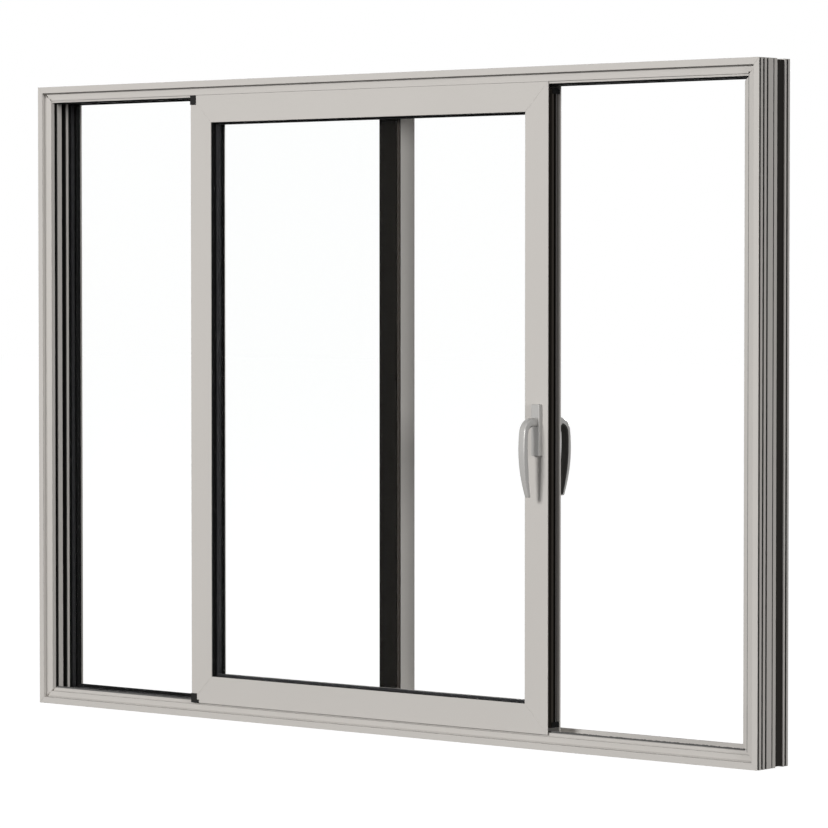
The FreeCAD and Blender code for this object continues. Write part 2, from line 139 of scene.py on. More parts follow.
lines, start, end = effect_group("drawn_lines", [("Stretch", "NodeSocketVector")])
place = lines.nodes.new("ShaderNodeTexCoord").outputs["Object"]
stretched = lines.nodes.new("ShaderNodeVectorMath")
stretched.operation = "MULTIPLY"
lines.links.new(place, stretched.inputs[0])
lines.links.new(start.outputs["Stretch"], stretched.inputs[1])
line = noise_on(lines, stretched.outputs["Vector"], 1.0, LINE_DETAIL)
lines.links.new(line, end.inputs["Tone"])
lines.links.new(line, end.inputs["Height"])
print("effects:", grain.name, lines.name)

# %% [markdown]
# ## Finishes
# The aluminium has a warm light grey powder coat, the thermal breaks and edge profiles are black
# polyamide, the gaskets are rubber, the handles are satin metal. Each finish mixes two close
# colours by an effect's Tone, lets the Tone move the roughness a little, and uses its Height as bump.
# A coat may also have a darker colour as painted shade, which it takes in a piece's deep grooves.

# %% Materials
def link_effect(tree, effect, settings):
    """Place an effect group in a material with its own values."""
    group = tree.nodes.new("ShaderNodeGroup")
    group.node_tree = effect
    for label, value in settings.items():
        group.inputs[label].default_value = value
    return group


def blend(tree, factor, first, second):
    """A colour that goes from the first, a colour or a socket, to the second with the factor."""
    mix = tree.nodes.new("ShaderNodeMix")
    mix.data_type = "RGBA"
    tree.links.new(factor, mix.inputs["Factor"])
    if isinstance(first, bpy.types.NodeSocket):
        tree.links.new(first, mix.inputs["A"])
    else:
        mix.inputs["A"].default_value = (*first, 1.0)
    mix.inputs["B"].default_value = (*second, 1.0)
    return mix.outputs["Result"]


BUMP_STRENGTH = 0.4


def finish(name, effect, settings, dark, light, smooth, rough, bump,
           metallic=0.0, specular=0.5, painted_shade=None):
    """A Principled material: base colour between dark and light, roughness between smooth and rough.
    With a painted shade colour, the piece's own painted_shade attribute blends towards it deep in grooves,
    where shade would fall."""
    made = bpy.data.materials.new(name)
    made.use_nodes = True
    tree = made.node_tree
    shader = tree.nodes["Principled BSDF"]
    shader.inputs["Metallic"].default_value = metallic
    shader.inputs["Specular IOR Level"].default_value = specular
    group = link_effect(tree, effect, settings)
    surface = blend(tree, group.outputs["Tone"], dark, light)
    # Painted shade: the painted_shade attribute darkens the colour in deep grooves.
    if painted_shade is not None:
        deep = tree.nodes.new("ShaderNodeAttribute")
        deep.attribute_name = "painted_shade"
        surface = blend(tree, deep.outputs["Fac"], surface, painted_shade)
    tree.links.new(surface, shader.inputs["Base Color"])
    spread = tree.nodes.new("ShaderNodeMapRange")
    spread.inputs["To Min"].default_value = smooth
    spread.inputs["To Max"].default_value = rough
    tree.links.new(group.outputs["Tone"], spread.inputs["Value"])
    tree.links.new(spread.outputs["Result"], shader.inputs["Roughness"])
    relief = tree.nodes.new("ShaderNodeBump")
    relief.inputs["Strength"].default_value = BUMP_STRENGTH
    relief.inputs["Distance"].default_value = bump
    tree.links.new(group.outputs["Height"], relief.inputs["Height"])
    tree.links.new(relief.outputs["Normal"], shader.inputs["Normal"])
    return made


# The last colour of the powder coat is painted shade for deep grooves.
powder_coat = finish("powder_coat", grain, {"Scale": 900.0}, (0.515, 0.490, 0.460), (0.575, 0.550, 0.520),
                     0.42, 0.56, 0.00006, specular=0.3, painted_shade=(0.016, 0.015, 0.014))
polyamide = finish("black_polyamide", grain, {"Scale": 700.0}, (0.008, 0.0068, 0.0056),
                   (0.018, 0.0155, 0.0128), 0.45, 0.65, 0.00008, specular=0.06)
rubber = finish("gasket_rubber", grain, {"Scale": 1100.0}, (0.004, 0.004, 0.004), (0.010, 0.010, 0.010),
                0.6, 0.8, 0.00006, specular=0.05)
cover_black = finish("post_cover_black", grain, {"Scale": 600.0}, (0.0036, 0.0032, 0.0026),
                     (0.0085, 0.0076, 0.0062), 0.5, 0.65, 0.00008, specular=0.02)
# The last colour of edge_black is painted shade for the edge's groove.
edge_black = finish("edge_black", lines, {"Stretch": (900.0, 900.0, 12.0)}, (0.028, 0.0238, 0.0200),
                    (0.046, 0.0395, 0.0330), 0.5, 0.7, 0.00006, specular=0.06,
                    painted_shade=(0.005, 0.0045, 0.004))
# The grip colour is partly painted shade: on the outdoor lever it covers the shade the stile casts on the
# finger side.
grip_and_painted_shade = finish("grip_and_painted_shade", grain, {"Scale": 1100.0}, (0.034, 0.033, 0.032), (0.062, 0.060, 0.058),
                   0.6, 0.8, 0.00008, specular=0.06)
nylon = finish("guide_nylon", grain, {"Scale": 500.0}, (0.010, 0.010, 0.010), (0.022, 0.021, 0.020),
               0.4, 0.55, 0.00006, specular=0.08)
spacer_bar = finish("spacer_bar", lines, {"Stretch": (25.0, 900.0, 25.0)}, (0.018, 0.018, 0.019),
                    (0.045, 0.045, 0.047), 0.45, 0.6, 0.00004, specular=0.08)
stainless = finish("stainless_rail", lines, {"Stretch": (4.0, 1500.0, 1500.0)}, (0.46, 0.45, 0.43),
                   (0.60, 0.59, 0.57), 0.22, 0.38, 0.00003, metallic=1.0)
satin_metal = finish("satin_handle", lines, {"Stretch": (1600.0, 900.0, 40.0)}, (0.37, 0.362, 0.35),
                     (0.48, 0.47, 0.455), 0.28, 0.40, 0.00003, metallic=0.3, specular=0.35)
print("ten finishes, from", powder_coat.name, "to", satin_metal.name)

# %% [markdown]
# ## Clear glass
# Each lite is two panes of clear float glass with a cavity. Seen in the room the panes hardly show, so
# the material keeps a low index and only a trace of green at steep angles. Light must pass to what is
# behind, and a refracting pane would stop the lamps' shadow rays. So the rays that carry light to a
# matt surface, shadow and diffuse ones alike, see a clear surface, and no lamp is counted twice.

# %% Glass material
GLASS_INDEX = 1.06
STEEP_BLEND = 0.2
CLEAR_TINT, STEEP_TINT = (1.0, 1.0, 1.0), (0.965, 0.99, 0.982)


def combined(tree, operation, first, second):
    """The value of a math node. The second input may be a plain number."""
    step = tree.nodes.new("ShaderNodeMath")
    step.operation = operation
    tree.links.new(first, step.inputs[0])
    if isinstance(second, bpy.types.NodeSocket):
        tree.links.new(second, step.inputs[1])
    else:
        step.inputs[1].default_value = second
    return step.outputs["Value"]


glass = bpy.data.materials.new("clear_glass")
glass.use_nodes = True
tree = glass.node_tree
pane = tree.nodes["Principled BSDF"]
pane.inputs["Transmission Weight"].default_value = 1.0
pane.inputs["Roughness"].default_value = 0.0
pane.inputs["IOR"].default_value = GLASS_INDEX
steep = tree.nodes.new("ShaderNodeLayerWeight")
steep.inputs["Blend"].default_value = STEEP_BLEND
tint = blend(tree, steep.outputs["Facing"], CLEAR_TINT, STEEP_TINT)
tree.links.new(tint, pane.inputs["Base Color"])
path = tree.nodes.new("ShaderNodeLightPath").outputs
lighting = combined(tree, "MAXIMUM", path["Is Shadow Ray"], path["Is Diffuse Ray"])
clear = tree.nodes.new("ShaderNodeBsdfTransparent")
either = tree.nodes.new("ShaderNodeMixShader")
tree.links.new(lighting, either.inputs["Fac"])
tree.links.new(pane.outputs["BSDF"], either.inputs[1])
tree.links.new(clear.outputs["BSDF"], either.inputs[2])
tree.links.new(either.outputs["Shader"], tree.nodes["Material Output"].inputs["Surface"])


def dress(material, slot, *names):
    """Give CAD nodes a material. The slot argument is not used."""
    for name in names:
        nodes[name].data.materials.clear()
        nodes[name].data.materials.append(material)


dress(glass, "clear_glass", "fixed_glass", "panel_glass")
print("glass index", GLASS_INDEX)

# %% [markdown]
# ## Reading a member's section
# The frame and the panel are extruded profiles cut at 45 degrees and joined at the corners. The CAD
# solids have sharp edges. Real profiles have small radii that catch the light, and a hairline at each
# mitre. The section needn't be typed in again: the slanted cap at a member's end holds its outline.

# %% Section of a member
SAME_PLACE, SLANT_TOLERANCE, FLAT_TURN = 1e-4, 0.01, 1e-9


def points_of(mesh):
    """The mesh's points as rows of x, y and z."""
    flat = np.empty(len(mesh.vertices) * 3)
    mesh.vertices.foreach_get("co", flat)
    return flat.reshape(-1, 3)


def triangles_of(mesh):
    """The mesh's triangles as rows of three point numbers."""
    mesh.calc_loop_triangles()
    flat = np.empty(len(mesh.loop_triangles) * 3, np.int64)
    mesh.loop_triangles.foreach_get("vertices", flat)
    return flat.reshape(-1, 3)


def cap_outline(name):
    """The outline of a member's section, from the slanted cap at its high end.

    Edges that only one triangle of the cap has make the rim. They keep the triangle's direction, so
    walking from each edge to the next gives the outline in order, anticlockwise seen from outside."""
    mesh = nodes[name].data
    points, same = np.unique(points_of(mesh).round(6), axis=0, return_inverse=True)
    corner = same.ravel()[triangles_of(mesh)]
    first, second, third = (points[corner[:, i]] for i in range(3))
    normal = np.cross(second - first, third - first)
    normal /= np.linalg.norm(normal, axis=1, keepdims=True)
    along = int(np.argmax(np.ptp(points, axis=0)))
    slanted = np.abs(normal[:, along] - math.sqrt(0.5)) < SLANT_TOLERANCE
    offset = (normal * first).sum(axis=1)
    cap = slanted & (offset > offset[slanted].max() - SAME_PLACE)
    edges = corner[cap][:, [0, 1, 1, 2, 2, 0]].reshape(-1, 2)
    _, spot, count = np.unique(np.sort(edges, axis=1), axis=0, return_index=True, return_counts=True)
    rim = edges[spot[count == 1]]
    following = dict(rim.tolist())
    walk = [int(rim[0, 0])]
    while following[walk[-1]] != walk[0]:
        walk.append(following[walk[-1]])
    return points[walk], along


def real_corners(outline):
    """The outline without points that lie on a straight line between their neighbours."""
    before = outline - np.roll(outline, 1, axis=0)
    after = np.roll(outline, -1, axis=0) - outline
    turn = before[:, 0] * after[:, 1] - before[:, 1] * after[:, 0]
    return outline[np.abs(turn) > FLAT_TURN]


sample, sample_axis = cap_outline("head_inner_shell")
print("head section:", len(sample), "corners along axis", sample_axis)

# %% [markdown]
# ## Softening a section
# The die of an extrusion has small radii and a sawn end is drawn in, and deep in a groove the colour gets
# painted shade. A bevel modifier and baked shading could do all that. Worked out on the flat outline it is
# a few formulas, and each point carries its own painted shade along the member.

# %% Rounding, drawing in and painted shade
TRIM_SHARE = 0.45
OPEN_SHARE, DEEP_SHARE = 0.66, 0.34
FAN_REACH, FAN_RAYS = 1.45, 25
NORMAL_STEP, RAY_LIFT, NO_CROSS = 0.001, 0.0002, 1e-12


def rounded(outline, radius, steps):
    """Each corner P becomes a quadratic curve from A to B with P as its control point:
    (1 - t)^2 A + 2 t (1 - t) P + t^2 B. A and B lie a radius from P, or under half an edge."""
    back = np.roll(outline, 1, axis=0) - outline
    ahead = np.roll(outline, -1, axis=0) - outline
    back_length = np.linalg.norm(back, axis=1, keepdims=True)
    ahead_length = np.linalg.norm(ahead, axis=1, keepdims=True)
    trim = np.minimum(radius, TRIM_SHARE * np.minimum(back_length, ahead_length))
    near = outline + back / back_length * trim
    far = outline + ahead / ahead_length * trim
    t = np.linspace(0, 1, steps)[None, :, None]
    curve = (1 - t) ** 2 * near[:, None] + 2 * t * (1 - t) * outline[:, None] + t ** 2 * far[:, None]
    return curve.reshape(-1, 2)


def drawn_in(outline, distance):
    """The outline moved inwards along its normals, which are its tangents turned by a right angle."""
    tangent = np.roll(outline, -1, axis=0) - np.roll(outline, 1, axis=0)
    tangent /= np.linalg.norm(tangent, axis=1, keepdims=True)
    x, y = outline.T
    area = np.sum(x * np.roll(y, -1) - np.roll(x, -1) * y)
    return outline + np.sign(area) * distance * np.column_stack((-tangent[:, 1], tangent[:, 0]))


def refined(outline, step):
    """The closed outline with extra points on its long edges, at most a step apart along it."""
    closed = np.vstack((outline, outline[:1]))
    length = np.concatenate(([0.0], np.cumsum(np.linalg.norm(np.diff(closed, axis=0), axis=1))))
    stops = np.union1d(length[:-1], np.arange(0, length[-1], step))
    return np.column_stack([np.interp(stops, length, closed[:, i]) for i in (0, 1)])


def painted_shade_of(outline, walls):
    """How much painted shade each point gets, from 0 in the open to 1 deep in a groove whose walls block
    the light.

    Rays fan out round each point's normal, weighted by the cosine. A ray P + t D meets a wall Q + s E
    where t = (Q - P) x E / D x E and s = (Q - P) x D / D x E, with t positive and s from 0 to 1."""
    normal = (outline - drawn_in(outline, NORMAL_STEP)) / NORMAL_STEP
    fan = np.linspace(-FAN_REACH, FAN_REACH, FAN_RAYS)
    across, up = normal[:, 0, None], normal[:, 1, None]
    turned = np.stack((across * np.cos(fan) - up * np.sin(fan),
                       across * np.sin(fan) + up * np.cos(fan)), axis=-1)[:, :, None]
    edge = (np.roll(walls, -1, axis=0) - walls)[None, None]
    gap = (walls[None] - (outline + normal * RAY_LIFT)[:, None])[:, None]
    cross = turned[..., 0] * edge[..., 1] - turned[..., 1] * edge[..., 0]
    cross = np.where(np.abs(cross) < NO_CROSS, NO_CROSS, cross)
    t = (gap[..., 0] * edge[..., 1] - gap[..., 1] * edge[..., 0]) / cross
    s = (gap[..., 0] * turned[..., 1] - gap[..., 1] * turned[..., 0]) / cross
    free = ~np.any((t > 0) & (s >= 0) & (s <= 1), axis=2)
    openness = (free * np.cos(fan)).sum(axis=1) / np.cos(fan).sum()
    return np.clip((OPEN_SHARE - openness) / (OPEN_SHARE - DEEP_SHARE), 0, 1)


sample = real_corners(sample[:, [2 - sample_axis, 1]])
print("deepest recess of the head's section:", round(float(painted_shade_of(sample, sample).max()), 2))

# %% [markdown]
# ## Carrying the section along
# A member is its section carried from one mitre to the other. The last fraction of a millimetre at each
# end is drawn in, so two members meet in a fine groove, as sawn and crimped corners do. Four rings of
# points are enough, because everything between the ends is straight. The mesh keeps each point's painted
# shade as an attribute for the coat's colour.

# %% Mitred members
EDGE_RADIUS = 0.0011
GROOVE = 0.0006
POINT_STEP, CORNER_POINTS = 0.0015, 5


def rings_to_mesh(name, rings, closed_path=False):
    """A mesh from a grid of points, ring by ring. Quads join each ring to the next.
    An open row of rings gets a cap at both ends."""
    count, size = rings.shape[:2]
    index = np.arange(count * size).reshape(count, size)
    here = index if closed_path else index[:-1]
    there = np.roll(index, -1, axis=0) if closed_path else index[1:]
    quads = np.stack((here, np.roll(here, -1, axis=1), np.roll(there, -1, axis=1), there), axis=-1)
    faces = quads.reshape(-1, 4).tolist()
    if not closed_path:
        faces.append(index[0, ::-1].tolist())
        faces.append(index[-1].tolist())
    mesh = bpy.data.meshes.new(name)
    mesh.from_pydata(rings.reshape(-1, 3).tolist(), [], faces)
    mesh.validate()
    piece = bpy.data.objects.new(name, mesh)
    bpy.context.scene.collection.objects.link(piece)
    return piece


def outwards(piece):
    """Turn every face of a closed mesh outwards: its volume, summed face by face, must be positive."""
    a, b, c = np.moveaxis(points_of(piece.data)[triangles_of(piece.data)], 1, 0)
    if np.sum(a * np.cross(b, c)) < 0:
        piece.data.flip_normals()
    return piece


def mark_painted_shade(piece, shade_amounts):
    """Keep each section point's painted shade on the two full rings. The sawn end rings have none."""
    stored = piece.data.attributes.new("painted_shade", "FLOAT", "POINT")
    bare = np.zeros_like(shade_amounts)
    stored.data.foreach_set("value", np.concatenate((bare, shade_amounts, shade_amounts, bare)).astype(np.float32))


def seat(piece, material, slot, body, *replaced):
    """Give a finished piece its material, let it ride on a body and stand for its CAD nodes. The slot
    argument is not used.
    """
    piece.data.materials.append(material)
    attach(outwards(piece), body)
    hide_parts(*replaced)
    return piece


def member(name, material, slot, body):
    """A mitred member: its rounded section in the plane of depth and breadth, carried along its length.

    On the cap the length is a straight function of the breadth, and the other end mirrors it. Four
    rings: drawn-in at the low mitre, full just inside it, full and drawn-in again at the high one."""
    cap, along = cap_outline(name)
    across = 2 - along
    slope, base = np.polyfit(cap[:, across], cap[:, along], 1)
    low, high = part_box(name)
    middle = low[along] + high[along]
    walls = real_corners(cap[:, [across, 1]])
    full = refined(rounded(walls, EDGE_RADIUS, CORNER_POINTS), POINT_STEP)
    fine = drawn_in(full, GROOVE)
    rings = np.zeros((4, len(full), 3))
    for i, outline in enumerate((fine, full, full, fine)):
        rings[i, :, across] = outline[:, 0]
        rings[i, :, 1] = outline[:, 1]
        end = base + slope * outline[:, 0] - (GROOVE if i in (1, 2) else 0.0)
        rings[i, :, along] = middle - end if i < 2 else end
    piece = rings_to_mesh(name + "_profile", rings)
    # Each point's painted shade, from how much its groove's walls hide it, goes on the mesh for the coat.
    mark_painted_shade(piece, painted_shade_of(full, walls))
    return seat(piece, material, slot, body, name)


FRAME_SIDES = ("head", "sill", "left_jamb", "right_jamb")
PANEL_SIDES = ("top_rail", "bottom_rail", "meeting_stile", "lock_stile")
made = []
for side in FRAME_SIDES:
    made.append(member(side + "_inner_shell", powder_coat, "frame_paint", "frame"))
    made.append(member(side + "_thermal_break", polyamide, "thermal_break", "frame"))
    made.append(member(side + "_outer_shell", powder_coat, "frame_paint", "frame"))
for side in PANEL_SIDES:
    made.append(member(side + "_inner", powder_coat, "frame_paint", "panel"))
    made.append(member(side + "_break", polyamide, "thermal_break", "panel"))
    made.append(member(side + "_outer", powder_coat, "frame_paint", "panel"))
print(len(made), "mitred members,", sum(len(piece.data.vertices) for piece in made), "points")

# %% [markdown]
# ## Gaskets
# A soft rubber bead presses on the glass all round. Its section bulges, so it is a squared-off ellipse
# carried round the four corners of the lite. A path with four mitred stops closes on itself. The fixed
# lite's outdoor bead is a few millimetres wider, as a lip that reaches past the shell.

# %% Gasket rings
BEAD_POINTS, BEAD_POWER = 24, 4.0
GASKET_LIP = 0.003


def round_angles(count):
    """Even angles once round, half a step off zero, so that no point falls on an axis."""
    return (np.arange(count) + 0.5) / count * 2 * math.pi


def squared_ellipse(angle, power):
    """Points of |x|^power + |y|^power = 1: each is sign(cos) |cos|^(2/power) and the same with sin."""
    across = np.sign(np.cos(angle)) * np.abs(np.cos(angle)) ** (2 / power)
    up = np.sign(np.sin(angle)) * np.abs(np.sin(angle)) ** (2 / power)
    return across, up


def gasket(name, body, lip=0.0):
    """A bead round a lite. The node's own points give the outer and inner half sizes of its ring.
    A lip makes it that much wider towards the middle of the lite."""
    low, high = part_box(name)
    centre = (np.array(low) + np.array(high)) / 2
    reach = np.abs(points_of(nodes[name].data) - centre)
    outer = reach.max(axis=0)
    width = (outer - reach.min(axis=0))[0]
    angle = round_angles(BEAD_POINTS)
    bulge, deep = squared_ellipse(angle, BEAD_POWER)
    inset = (width + lip) / 2 * (1 + bulge)
    corners = np.array([(-1, -1), (1, -1), (1, 1), (-1, 1)])
    rings = np.zeros((4, len(angle), 3))
    rings[..., 0] = centre[0] + corners[:, :1] * (outer[0] - inset)
    rings[..., 1] = centre[1] + deep * outer[1]
    rings[..., 2] = centre[2] + corners[:, 1:] * (outer[2] - inset)
    return seat(rings_to_mesh(name + "_bead", rings, closed_path=True), rubber, "gasket_rubber", body, name)


beads = [gasket("fixed_inner_gasket", "frame"), gasket("fixed_outer_gasket", "frame", GASKET_LIP),
         gasket("panel_inner_gasket", "panel"), gasket("panel_outer_gasket", "panel")]
print(len(beads), "gasket beads")

# %% [markdown]
# ## Pile seals
# A strip of short grey pile stands behind the sill's stop and a black one hangs behind the head's, to keep
# dust out of the track. The head's pile is black as painted shade under the head. Hair by hair would be
# far too heavy. A ribbon whose height and thickness waver at every few millimetres reads as trimmed pile,
# and it is still one surface carried along X.

# %% Pile seals
PILE_PITCH = 0.004
PILE_THICK = 0.0035
PILE_RISE = 0.0046
PILE_ROOT = 0.006
RISE_WAVER, THICK_WAVER = 0.22, 0.15
PILE_END_GAP = 0.001


def pile_back(node, inwards):
    """Depth of the stop's outdoor face: the largest depth among the points at the member's inner edge."""
    points = points_of(nodes[node].data)
    inner = points[:, 2].max() if inwards > 0 else points[:, 2].min()
    return points[np.abs(points[:, 2] - inner) < SAME_PLACE, 1].max()


def pile(name, node, inwards, seed, material):
    """Rings along X: a root, two flanks and a rounded top, whose height is the rise with a random share."""
    low, high = (np.array(corner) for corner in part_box(node))
    edge = high[2] if inwards > 0 else low[2]
    start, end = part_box("left_jamb_inner_shell")[1][0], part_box("right_jamb_inner_shell")[0][0]
    x = np.arange(start + PILE_END_GAP, end - PILE_END_GAP, PILE_PITCH)
    rng = np.random.default_rng(seed)
    rise = PILE_RISE * (1 + RISE_WAVER * rng.uniform(-1, 1, len(x)))
    thick = PILE_THICK * (1 + THICK_WAVER * rng.uniform(-1, 1, len(x)))
    across = np.array([0.0, 0.0, 0.08, 0.3, 0.7, 0.92, 1.0, 1.0])
    up = np.array([0.0, 0.75, 0.92, 1.0, 1.0, 0.92, 0.75, 0.0])
    stop_back = pile_back(node, inwards)
    rings = np.zeros((len(x), len(across), 3))
    rings[..., 0] = x[:, None]
    rings[..., 1] = stop_back + across * thick[:, None]
    rings[..., 2] = edge + inwards * (up * (rise[:, None] + PILE_ROOT) - PILE_ROOT)
    return seat(rings_to_mesh(name, rings), material, "gasket_rubber", "frame")


pile_grey = finish("pile_grey", lines, {"Stretch": (900.0, 900.0, 60.0)}, (0.075, 0.074, 0.072),
                   (0.135, 0.133, 0.130), 0.85, 1.0, 0.0002, specular=0.1)
# The head's pile takes black rubber, not the grey pile, as painted shade under the head.
seals = [pile("sill_pile", "sill_inner_shell", 1, 3, pile_grey),
         pile("head_pile_painted_shade", "head_inner_shell", -1, 5, rubber)]
print(len(seals), "pile seals,", sum(len(piece.data.vertices) for piece in seals), "points")

# %% [markdown]
# ## Straight strips
# The head's lip ends in a thin edge that hangs a few millimetres lower and covers most of the running
# gap over the panel. A flat facing brings the head's stop close behind the panel's leaf, and a thin
# black bead along the right jamb's lip edge is a painted shadow line there. Each is drawn as an outline,
# rounded like the others, and carried straight along one axis.

# %% Head edge, stop facing and lip shadow line
X_AXIS, Z_AXIS = 0, 2
EDGE_COVER, EDGE_THICK, EDGE_ROOT, EDGE_PROUD = 0.0047, 0.0018, 0.0025, 0.0002
FACING_FRONT, FACING_DEPTH, FACING_HEIGHT = 0.0045, 0.0032, 0.009
RUN_GAP = 0.005
LIP_INSET = 0.049
RIGHT_LIP, SHADOW_LINE_HALF, SHADOW_LINE_DEPTH, SHADOW_LINE_BACK = 0.048, 0.0011, 0.003, 0.0003
STRIP_RADIUS, SHADOW_LINE_RADIUS = 0.0005, 0.0003


def straight(name, outline, along, start, end, radius):
    """A rounded outline carried along one axis, drawn in a little at both ends."""
    full = refined(rounded(outline, radius, CORNER_POINTS), POINT_STEP)
    fine = drawn_in(full, radius / 2)
    rings = np.zeros((4, len(full), 3))
    across = [axis for axis in range(3) if axis != along]
    rings[..., across] = np.stack((fine, full, full, fine))
    rings[..., along] = np.array([start, start + radius / 2, end - radius / 2, end])[:, None]
    piece = rings_to_mesh(name, rings)
    # The strip's grooves get painted shade the same way.
    mark_painted_shade(piece, painted_shade_of(full, outline))
    return piece


def oblong(first_low, first_high, second_low, second_high):
    """The four corners of a strip's section in its two cross axes."""
    return np.array([(first_low, second_low), (first_high, second_low),
                     (first_high, second_high), (first_low, second_high)])


panel_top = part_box("top_rail_inner")[1][2]
lip_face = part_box("top_rail_inner")[0][1]
lip_end = panel_top + RUN_GAP
stop_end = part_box("head_inner_shell")[0][2]
edge_front = lip_face - EDGE_PROUD
stop_front = lip_face + FACING_FRONT
strips = {
    "head_edge": oblong(edge_front, edge_front + EDGE_THICK, lip_end - EDGE_COVER, lip_end + EDGE_ROOT),
    "head_stop_face": oblong(stop_front, stop_front + FACING_DEPTH, stop_end, stop_end + FACING_HEIGHT),
}
for name, outline in strips.items():
    strip = straight(name, outline, X_AXIS, cad_low[0] + LIP_INSET, cad_high[0] - LIP_INSET, STRIP_RADIUS)
    seat(strip, powder_coat, "frame_paint", "frame")

# Painted shadow: a black rubber bead along the right jamb's lip edge stands in for the lip's shadow line.
lip_x = cad_high[0] - RIGHT_LIP
shadow_line_outline = oblong(lip_x - SHADOW_LINE_HALF, lip_x + SHADOW_LINE_HALF, lip_face + SHADOW_LINE_BACK, lip_face + SHADOW_LINE_DEPTH)
bead = straight("right_lip_painted_shadow_line", shadow_line_outline, Z_AXIS, cad_low[2] + LIP_INSET, lip_end - EDGE_COVER,
                SHADOW_LINE_RADIUS)
seat(bead, rubber, "gasket_rubber", "frame")
print("head edge, stop facing and lip bead, lip ends at", round(float(lip_end), 4), "m")

# %% [markdown]
# ## Outdoor seals
# Two black rubber lips face outdoors. One hangs from the head's outdoor shell over the doorway, and its
# black is painted shade under the head there. The other lines the meeting stile's edge at the glass. They
# are straight strips again, placed from the CAD boxes.

# %% Outdoor seals
SEAL_THICK, SEAL_HANG, SEAL_ROOT = 0.003, 0.0015, 0.008
STILE_LIP, STILE_THICK, STILE_INSET = 0.0035, 0.0035, 0.012

# The head's strip is black as painted shade under the head over the doorway.
leg_end, leg_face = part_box("head_outer_shell")[0][2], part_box("fixed_outer_gasket")[1][1]
shade_seal_outline = oblong(leg_face - SEAL_THICK, leg_face, leg_end - SEAL_HANG, leg_end + SEAL_ROOT)
seal_start, seal_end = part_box("meeting_post")[1][0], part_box("right_jamb_outer_shell")[0][0]
shade_seal = straight("head_outer_seal_painted_shade", shade_seal_outline, X_AXIS, seal_start, seal_end, STRIP_RADIUS)
seat(shade_seal, rubber, "gasket_rubber", "frame")

glass_low, glass_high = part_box("panel_outer_gasket")
stile_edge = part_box("meeting_stile_outer")[1][0]
stile_outline = oblong(stile_edge - STILE_LIP, stile_edge + STILE_LIP,
                       glass_high[1] - STILE_THICK, glass_high[1])
stile_lip = straight("meeting_stile_lip", stile_outline, Z_AXIS, glass_low[2] + STILE_INSET,
                     glass_high[2] - STILE_INSET, STRIP_RADIUS)
seat(stile_lip, rubber, "gasket_rubber", "panel")
print("outdoor seals, the head's", round(float(seal_end - seal_start), 3), "m long")

# %% [markdown]
# ## Post cover
# The post's indoor face is a black cover with a narrow groove before its right edge, and past the
# groove a slightly lighter trim strip, whose lighter black is partly a painted highlight along that edge.
# A Boolean cut in the CAD solid could make the groove. Drawing the outline again point by point is
# shorter, and its edges come out rounded.

# %% Post cover and trim
COVER_GROOVE_START, COVER_GROOVE_END, COVER_GROOVE_DEPTH = 0.0712, 0.0742, 0.0022
COVER_LEAF, COVER_POCKET = 0.004, 0.020
TRIM_INSET, TRIM_PROUD, TRIM_SUNK = 0.0004, 0.0002, 0.0010
COVER_RADIUS, TRIM_RADIUS = 0.0007, 0.0004

low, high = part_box("meeting_post_cover")
left, front, right, back = low[0], low[1], high[0], high[1]
groove_left, groove_right = left + COVER_GROOVE_START, left + COVER_GROOVE_END
groove_back, leaf_back, pocket = front + COVER_GROOVE_DEPTH, front + COVER_LEAF, left + COVER_POCKET
cover_outline = np.array([
    (left, front), (groove_left, front), (groove_left, groove_back), (groove_right, groove_back),
    (groove_right, front), (right, front), (right, leaf_back), (pocket, leaf_back), (pocket, back),
    (left, back)])
cover = straight("meeting_post_cover_profile", cover_outline, Z_AXIS, low[2], high[2], COVER_RADIUS)
seat(cover, cover_black, "post_cover", "frame", "meeting_post_cover")
# The trim's lighter black is partly a painted highlight on the cover's edge.
highlight_trim_outline = oblong(groove_right + TRIM_INSET, right - TRIM_INSET, front - TRIM_PROUD, front + TRIM_SUNK)
trim = straight("meeting_post_highlight_trim", highlight_trim_outline, Z_AXIS, low[2], high[2], TRIM_RADIUS)
seat(trim, edge_black, "post_cover", "frame")
print("post cover and trim,", round(float(high[2] - low[2]), 3), "m tall")

# %% [markdown]
# ## Closing edge
# The closing edge of the panel is a black profile with a flat face, a groove and a rib that carries a
# strip of grey pile, to seal against the jamb. A rubber cap closes each of its ends. It is drawn like the
# post's cover, and the pile and the caps are plain strips.

# %% Closing edge
FACE_INSET, FACE_END = 0.002, 0.0105
RIB_START, RIB_END, RIB_FLOOR = 0.0172, 0.0240, 0.008
PILE_START, PILE_END, PILE_SUNK, PILE_PROUD = 0.0180, 0.0232, 0.0010, 0.0006
CAP_TALL, CAP_INSET, CAP_SUNK, CAP_PROUD = 0.017, 0.0006, 0.001, 0.0009

low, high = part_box("lock_stile_edge")
root, front, crest, back = low[0], low[1], high[0], high[1]
face, floor_x = crest - FACE_INSET, crest - RIB_FLOOR
edge_outline = np.array([
    (root, front), (face, front), (face, front + FACE_END), (floor_x, front + FACE_END),
    (floor_x, front + RIB_START), (crest, front + RIB_START), (crest, front + RIB_END),
    (floor_x, front + RIB_END), (floor_x, back), (root, back)])
edge = straight("lock_stile_edge_profile", edge_outline, Z_AXIS, low[2], high[2], STRIP_RADIUS)
seat(edge, edge_black, "thermal_break", "panel", "lock_stile_edge")
pile_outline = oblong(crest - PILE_SUNK, crest + PILE_PROUD, front + PILE_START, front + PILE_END)
edge_pile = straight("lock_stile_pile", pile_outline, Z_AXIS, low[2], high[2], STRIP_RADIUS)
seat(edge_pile, pile_grey, "gasket_rubber", "panel")
end_outline = oblong(floor_x - CAP_SUNK, crest + CAP_PROUD, front + CAP_INSET, back - CAP_INSET)
